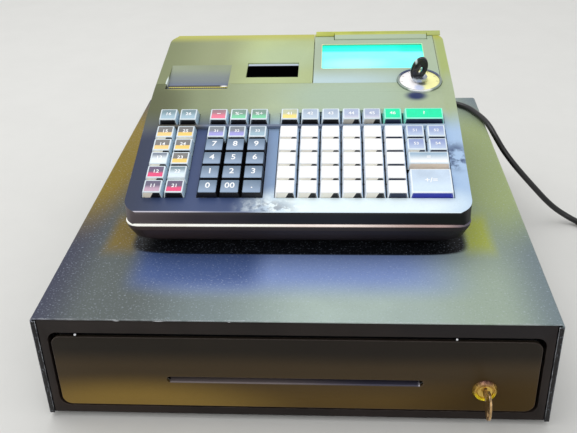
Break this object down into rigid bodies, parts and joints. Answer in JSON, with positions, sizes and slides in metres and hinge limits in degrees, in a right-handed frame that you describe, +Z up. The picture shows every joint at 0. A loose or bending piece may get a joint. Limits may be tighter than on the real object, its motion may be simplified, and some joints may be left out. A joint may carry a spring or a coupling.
{
  "type": "electronic register on a cash drawer",
  "caption": "Desktop electronic register with a sloping keyboard, display, key lock and paper printer, standing on a steel cash drawer.",
  "frame": {"origin": "on the surface that the drawer case stands on, under the middle of the case's footprint", "axes": "+Z up, -Y out of the drawer front towards the cashier, +X to the cashier's right"},
  "size_m": [0.6058, 0.4774, 0.2276],
  "materials": {
    "case_steel": "textured powder coat, worn at the front edge",
    "front_steel": "satin powder coat",
    "plain_steel": "zinc plated",
    "foot_rubber": "matt",
    "spring_steel": "bright drawn wire",
    "coil_copper": "solenoid with its bracket, plated",
    "tray_plastic": "moulded, fine grain",
    "clip_plastic": "moulded",
    "lock_brass": "polished",
    "key_brass": "tumbled, worn",
    "housing_lower": "satin moulding",
    "housing_upper": "glossy moulding",
    "printer_lid_plastic": "satin moulding",
    "plate_plastic": "moulded",
    "board_green": "solder resist",
    "panel_plastic": "satin front foil",
    "lcd_glow": "back-lit liquid crystal glass",
    "ring_chrome": "polished",
    "dial_cream": "smooth",
    "mode_key_black": "moulded bow on a nickelled blade",
    "popup_plastic": "smoked",
    "chassis_plastic": "moulded",
    "platen_rubber": "ground",
    "paper_white": "thermal paper",
    "reel_plastic": "moulded",
    "smoked_window": "smoked",
    "bar_steel": "stamped",
    "number_cap": "clear cap over a slate blue legend, black skirt",
    "top_cap": "clear caps over coloured legends",
    "left_cap": "clear caps over coloured legends, cream skirts",
    "department_cap": "clear caps over white legends",
    "tender_cap": "clear caps over lavender legends",
    "subtotal_cap": "clear cap, cream skirt",
    "cash_cap": "clear cap over a light blue legend",
    "help_cap": "clear cap over a green legend",
    "cord_rubber": "smooth",
    "relief_rubber": "matt",
    "plug_plastic": "moulded, brass blades"
  },
  "bodies": {
    "register_case": {"case_cover": "case_steel", "front_frame": "front_steel", "case_base": "case_steel", "rubber_feet": "foot_rubber", "case_rails": "plain_steel", "latch_solenoid": "coil_copper", "eject_spring": "spring_steel", "lower_case": "housing_lower", "upper_case": "housing_upper", "key_plate": "plate_plastic", "main_board": "board_green", "display_panel": "panel_plastic", "lcd_module": "lcd_glow", "mode_ring": "ring_chrome", "mode_plate": "dial_cream", "printer_chassis": "chassis_plastic", "strain_relief": "relief_rubber", "mains_cord": "cord_rubber", "cord_coil": "cord_rubber", "mains_plug": "plug_plastic"},
    "drawer": {"drawer_front": "front_steel", "drawer_pan": "plain_steel", "drawer_rails": "plain_steel", "cash_tray": "tray_plastic", "lock_barrel": "lock_brass"},
    "drawer_lock": {"lock_plug": "lock_brass", "drawer_key": "key_brass"},
    "note_clips": {"bill_clips": "clip_plastic"},
    "latch": {"latch_lever": "plain_steel"},
    "printer_lid": {"printer_cover": "printer_lid_plastic", "cover_window": "smoked_window", "tear_bar": "bar_steel"},
    "receipt_paper": {"receipt_roll": "paper_white"},
    "journal_paper": {"journal_roll": "paper_white"},
    "journal_reel": {"take_up_reel": "reel_plastic"},
    "platen": {"platen_roller": "platen_rubber"},
    "popup_display": {"customer_display": "popup_plastic"},
    "mode_lock": {"mode_key": "mode_key_black"},
    "key_0": {"key_0": "number_cap"},
    "key_00": {"key_00": "number_cap"},
    "key_point": {"key_point": "number_cap"},
    "key_1": {"key_1": "number_cap"},
    "key_2": {"key_2": "number_cap"},
    "key_3": {"key_3": "number_cap"},
    "key_4": {"key_4": "number_cap"},
    "key_5": {"key_5": "number_cap"},
    "key_6": {"key_6": "number_cap"},
    "key_7": {"key_7": "number_cap"},
    "key_8": {"key_8": "number_cap"},
    "key_9": {"key_9": "number_cap"},
    "subtotal_key": {"subtotal_key": "subtotal_cap"},
    "cash_key": {"cash_key": "cash_cap"},
    "help_key": {"help_key": "help_cap"},
    "number_top_keys": {"number_top_keys": "top_cap"},
    "left_keys_outer": {"left_keys_outer": "left_cap"},
    "left_keys_inner": {"left_keys_inner": "left_cap"},
    "department_keys_a": {"department_keys_a": "department_cap"},
    "department_keys_b": {"department_keys_b": "department_cap"},
    "department_keys_c": {"department_keys_c": "department_cap"},
    "tender_keys": {"tender_keys": "tender_cap"}
  },
  "joints": [
    {"name": "drawer_slide", "type": "slide", "parent": "register_case", "child": "drawer", "axis": [0, -1, 0], "range_m": [0, 0.3]},
    {"name": "drawer_lock_turn", "type": "hinge", "parent": "drawer", "child": "drawer_lock", "pos_m": [0.151, -0.225, 0.0365], "axis": [0, 1, 0], "range_deg": [0, 90]},
    {"name": "note_clip_lift", "type": "hinge", "parent": "drawer", "child": "note_clips", "pos_m": [0, 0.1012, 0.0744], "axis": [-1, 0, 0], "range_deg": [0, 25], "stiffness_Nm_per_rad": 0.1, "springref_deg": -17.19},
    {"name": "latch_tip", "type": "hinge", "parent": "register_case", "child": "latch", "pos_m": [0, 0.205, 0.058], "axis": [1, 0, 0], "range_deg": [0, 20]},
    {"name": "printer_cover_lift", "type": "hinge", "parent": "register_case", "child": "printer_lid", "pos_m": [-0.068, 0.125, 0.20641], "axis": [-1, 0, 0], "range_deg": [0, 75]},
    {"name": "receipt_roll_spin", "type": "hinge", "parent": "register_case", "child": "receipt_paper", "pos_m": [-0.105, 0.09, 0.154], "axis": [1, 0, 0], "continuous": true},
    {"name": "journal_roll_spin", "type": "hinge", "parent": "register_case", "child": "journal_paper", "pos_m": [-0.033, 0.09, 0.154], "axis": [1, 0, 0], "continuous": true},
    {"name": "platen_spin", "type": "hinge", "parent": "register_case", "child": "platen", "pos_m": [-0.069, 0.043, 0.181], "axis": [1, 0, 0], "continuous": true},
    {"name": "take_up_spin", "type": "hinge", "parent": "register_case", "child": "journal_reel", "pos_m": [-0.033, 0.06, 0.1845], "axis": [1, 0, 0], "continuous": true},
    {"name": "customer_display_rise", "type": "slide", "parent": "register_case", "child": "popup_display", "axis": [0, 0, 1], "range_m": [0, 0.055]},
    {"name": "mode_key_turn", "type": "hinge", "parent": "register_case", "child": "mode_lock", "pos_m": [0.115, 0.03394, 0.19768], "axis": [0, -0.1702, 0.9854], "range_deg": [-90, 90]},
    {"name": "key_0_press", "type": "slide", "parent": "register_case", "child": "key_0", "axis": [0, 0.294, -0.9558], "range_m": [0, 0.0035], "stiffness_N_per_m": 170, "springref_m": -0.0015},
    {"name": "key_00_press", "type": "slide", "parent": "register_case", "child": "key_00", "axis": [0, 0.294, -0.9558], "range_m": [0, 0.0035], "stiffness_N_per_m": 170, "springref_m": -0.0015},
    {"name": "key_point_press", "type": "slide", "parent": "register_case", "child": "key_point", "axis": [0, 0.294, -0.9558], "range_m": [0, 0.0035], "stiffness_N_per_m": 170, "springref_m": -0.0015},
    {"name": "key_1_press", "type": "slide", "parent": "register_case", "child": "key_1", "axis": [0, 0.294, -0.9558], "range_m": [0, 0.0035], "stiffness_N_per_m": 170, "springref_m": -0.0015},
    {"name": "key_2_press", "type": "slide", "parent": "register_case", "child": "key_2", "axis": [0, 0.294, -0.9558], "range_m": [0, 0.0035], "stiffness_N_per_m": 170, "springref_m": -0.0015},
    {"name": "key_3_press", "type": "slide", "parent": "register_case", "child": "key_3", "axis": [0, 0.294, -0.9558], "range_m": [0, 0.0035], "stiffness_N_per_m": 170, "springref_m": -0.0015},
    {"name": "key_4_press", "type": "slide", "parent": "register_case", "child": "key_4", "axis": [0, 0.294, -0.9558], "range_m": [0, 0.0035], "stiffness_N_per_m": 170, "springref_m": -0.0015},
    {"name": "key_5_press", "type": "slide", "parent": "register_case", "child": "key_5", "axis": [0, 0.294, -0.9558], "range_m": [0, 0.0035], "stiffness_N_per_m": 170, "springref_m": -0.0015},
    {"name": "key_6_press", "type": "slide", "parent": "register_case", "child": "key_6", "axis": [0, 0.294, -0.9558], "range_m": [0, 0.0035], "stiffness_N_per_m": 170, "springref_m": -0.0015},
    {"name": "key_7_press", "type": "slide", "parent": "register_case", "child": "key_7", "axis": [0, 0.294, -0.9558], "range_m": [0, 0.0035], "stiffness_N_per_m": 170, "springref_m": -0.0015},
    {"name": "key_8_press", "type": "slide", "parent": "register_case", "child": "key_8", "axis": [0, 0.294, -0.9558], "range_m": [0, 0.0035], "stiffness_N_per_m": 170, "springref_m": -0.0015},
    {"name": "key_9_press", "type": "slide", "parent": "register_case", "child": "key_9", "axis": [0, 0.294, -0.9558], "range_m": [0, 0.0035], "stiffness_N_per_m": 170, "springref_m": -0.0015},
    {"name": "subtotal_key_press", "type": "slide", "parent": "register_case", "child": "subtotal_key", "axis": [0, 0.294, -0.9558], "range_m": [0, 0.0035], "stiffness_N_per_m": 170, "springref_m": -0.0015},
    {"name": "cash_key_press", "type": "slide", "parent": "register_case", "child": "cash_key", "axis": [0, 0.294, -0.9558], "range_m": [0, 0.0035], "stiffness_N_per_m": 170, "springref_m": -0.0015},
    {"name": "help_key_press", "type": "slide", "parent": "register_case", "child": "help_key", "axis": [0, 0.294, -0.9558], "range_m": [0, 0.0035], "stiffness_N_per_m": 170, "springref_m": -0.0015},
    {"name": "number_top_keys_press", "type": "slide", "parent": "register_case", "child": "number_top_keys", "axis": [0, 0.294, -0.9558], "range_m": [0, 0.0035], "stiffness_N_per_m": 1020, "springref_m": -0.0015},
    {"name": "left_keys_outer_press", "type": "slide", "parent": "register_case", "child": "left_keys_outer", "axis": [0, 0.294, -0.9558], "range_m": [0, 0.0035], "stiffness_N_per_m": 1020, "springref_m": -0.0015},
    {"name": "left_keys_inner_press", "type": "slide", "parent": "register_case", "child": "left_keys_inner", "axis": [0, 0.294, -0.9558], "range_m": [0, 0.0035], "stiffness_N_per_m": 1020, "springref_m": -0.0015},
    {"name": "department_keys_a_press", "type": "slide", "parent": "register_case", "child": "department_keys_a", "axis": [0, 0.294, -0.9558], "range_m": [0, 0.0035], "stiffness_N_per_m": 2040, "springref_m": -0.0015},
    {"name": "department_keys_b_press", "type": "slide", "parent": "register_case", "child": "department_keys_b", "axis": [0, 0.294, -0.9558], "range_m": [0, 0.0035], "stiffness_N_per_m": 2040, "springref_m": -0.0015},
    {"name": "department_keys_c_press", "type": "slide", "parent": "register_case", "child": "department_keys_c", "axis": [0, 0.294, -0.9558], "range_m": [0, 0.0035], "stiffness_N_per_m": 2040, "springref_m": -0.0015},
    {"name": "tender_keys_press", "type": "slide", "parent": "register_case", "child": "tender_keys", "axis": [0, 0.294, -0.9558], "range_m": [0, 0.0035], "stiffness_N_per_m": 680, "springref_m": -0.0015}
  ],
  "couplings": [
    {"joint": "journal_roll_spin", "follows": "receipt_roll_spin", "ratio": 1},
    {"joint": "platen_spin", "follows": "receipt_roll_spin", "ratio": -5.3333},
    {"joint": "take_up_spin", "follows": "receipt_roll_spin", "ratio": -6.4}
  ]
}
